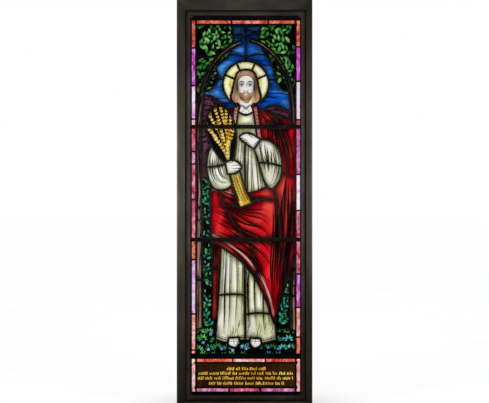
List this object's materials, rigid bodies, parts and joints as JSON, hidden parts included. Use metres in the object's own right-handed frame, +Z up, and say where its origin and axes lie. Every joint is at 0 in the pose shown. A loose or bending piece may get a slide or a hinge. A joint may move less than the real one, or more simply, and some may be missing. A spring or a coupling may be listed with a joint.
{
  "type": "stained glass window",
  "caption": "Tall leaded stained glass light with a haloed robed figure holding wheat, a pink glass border and an inscription pane, in a dark moulded frame.",
  "frame": {"origin": "centre of the frame's underside, at floor level", "axes": "+Z up along the height, +X to the right as seen from the room, -Y towards the room, +Y towards the outside"},
  "size_m": [0.664, 0.138, 2.03],
  "materials": {
    "frame_paint": "dark warm grey paint, matt, dusty",
    "inner_frame_paint": "dark warm grey paint, low sheen",
    "bar_metal": "black paint, matt",
    "lead": "blackened lead came, dull, soldered at the joints",
    "blue_glass": "streaky antique glass, painted and fired",
    "violet_glass": "streaky antique glass, painted and fired",
    "brown_and_green_glass": "brown and green antique glass, painted and fired",
    "teal_glass": "streaky antique glass, painted and fired",
    "green_glass": "streaky antique glass, painted and fired",
    "pale_yellow_glass": "white glass with silver stain",
    "flesh_glass": "pale flesh glass, painted and fired",
    "red_glass": "flashed ruby glass, painted and fired",
    "cream_glass": "white glass, painted and fired",
    "gold_glass": "yellow stained glass, painted and fired",
    "pink_glass": "streaky gold-pink glass",
    "umber_glass": "amber glass under dark brown paint"
  },
  "bodies": {
    "root": {"border_base": "pink_glass", "border_left_lower": "pink_glass", "border_left_middle": "pink_glass", "border_right_lower": "pink_glass", "border_right_middle": "pink_glass", "border_upper": "pink_glass", "foot_left_lower": "flesh_glass", "foot_right_lower": "flesh_glass", "frame_head": "frame_paint", "frame_jamb_left_lower": "frame_paint", "frame_jamb_left_upper": "frame_paint", "frame_jamb_right_lower": "frame_paint", "frame_jamb_right_upper": "frame_paint", "frame_sill": "frame_paint", "glazing_bead": "inner_frame_paint", "ground_lower": "green_glass", "halo_upper": "pale_yellow_glass", "hand_left_middle": "flesh_glass", "hand_right_middle": "flesh_glass", "head_upper": "flesh_glass", "hedge_lower_left": "teal_glass", "hedge_lower_right": "teal_glass", "hedge_middle": "teal_glass", "hill_middle": "violet_glass", "hill_upper_left": "violet_glass", "hill_upper_right": "violet_glass", "inner_frame_bottom": "inner_frame_paint", "inner_frame_left": "inner_frame_paint", "inner_frame_right": "inner_frame_paint", "inner_frame_top": "inner_frame_paint", "inscription_pane": "umber_glass", "lead_base": "lead", "lead_lower": "lead", "lead_middle": "lead", "lead_upper": "lead", "mantle_lower": "red_glass", "mantle_middle": "red_glass", "mantle_upper_left": "red_glass", "mantle_upper_right": "red_glass", "robe_lower": "cream_glass", "robe_middle": "cream_glass", "robe_upper": "cream_glass", "sky_upper": "blue_glass", "sleeve_left_middle": "cream_glass", "sleeve_right_middle": "cream_glass", "swag_lower": "red_glass", "swag_middle": "red_glass", "t_bar_lower": "bar_metal", "t_bar_middle": "bar_metal", "t_bar_upper": "bar_metal", "tree_left_lower": "brown_and_green_glass", "tree_left_middle": "brown_and_green_glass", "tree_left_upper": "brown_and_green_glass", "tree_right_lower": "brown_and_green_glass", "tree_right_upper": "brown_and_green_glass", "wheat_ears_middle": "gold_glass", "wheat_ears_upper": "gold_glass", "wheat_stems_middle": "gold_glass"}
  },
  "joints": []
}
